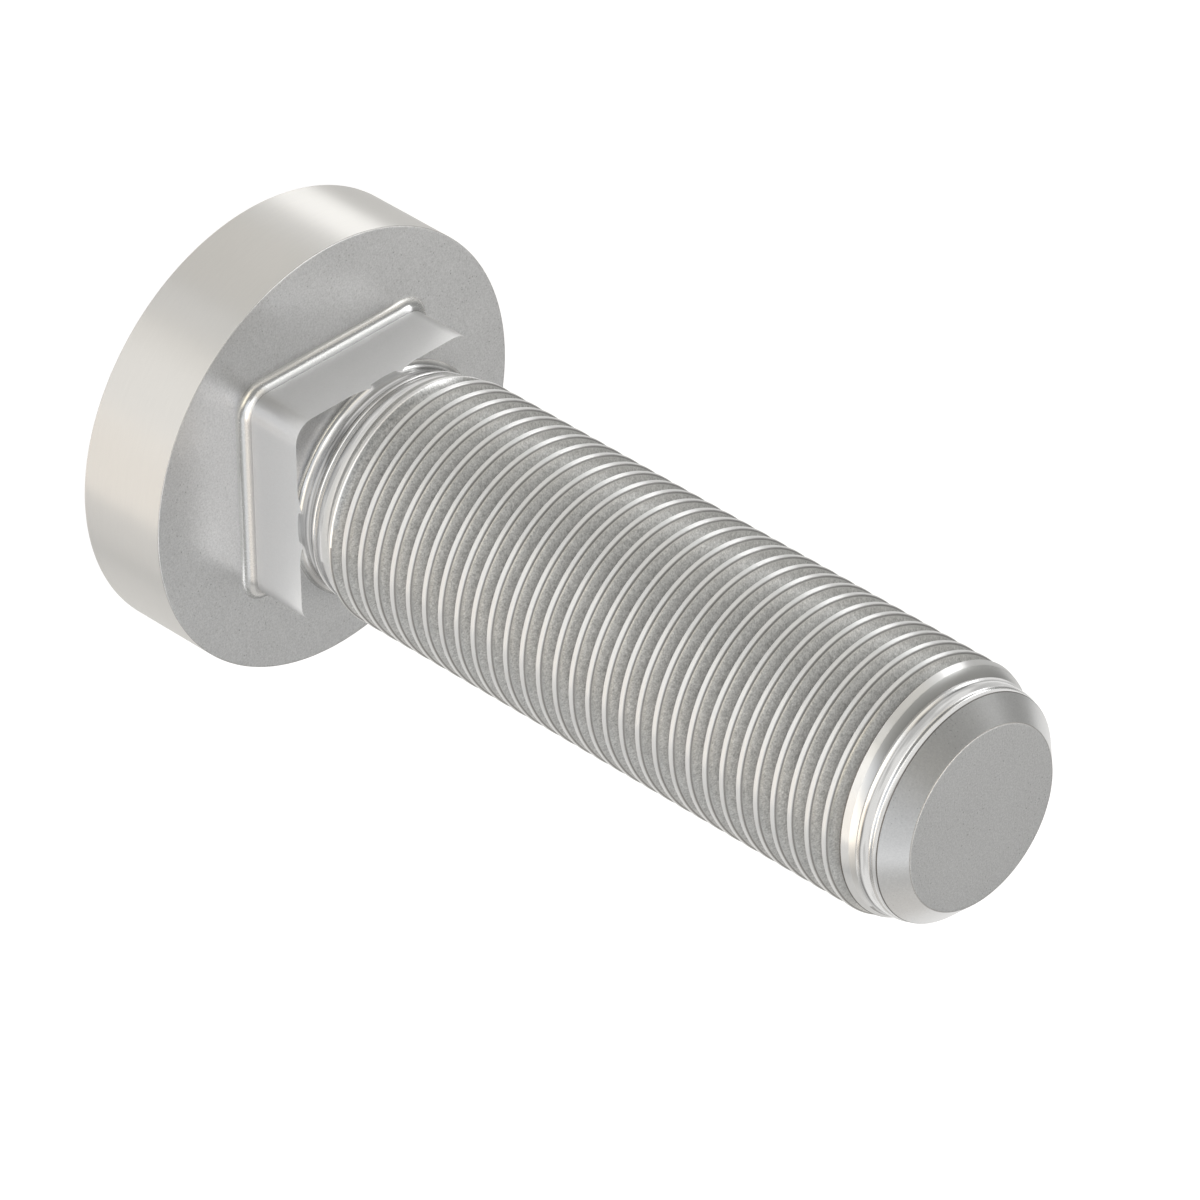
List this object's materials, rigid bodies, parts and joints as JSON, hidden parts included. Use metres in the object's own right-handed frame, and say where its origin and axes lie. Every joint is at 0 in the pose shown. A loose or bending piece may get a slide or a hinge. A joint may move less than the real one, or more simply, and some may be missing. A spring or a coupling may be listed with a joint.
{
  "type": "wheel bolt",
  "caption": "One-piece forged steel wheel bolt: flat round head, square neck that stops it turning, long fine-threaded shank, chamfered point.",
  "frame": {"origin": "centre of the head's outer face, which the bolt stands on", "axes": "+Z along the shank, from the head to the point; +X and +Y square to two flats of the neck"},
  "size_m": [0.032, 0.032, 0.0661],
  "materials": {
    "steel": "light grey satin"
  },
  "bodies": {
    "root": {"wheel_bolt": "steel"}
  },
  "joints": []
}
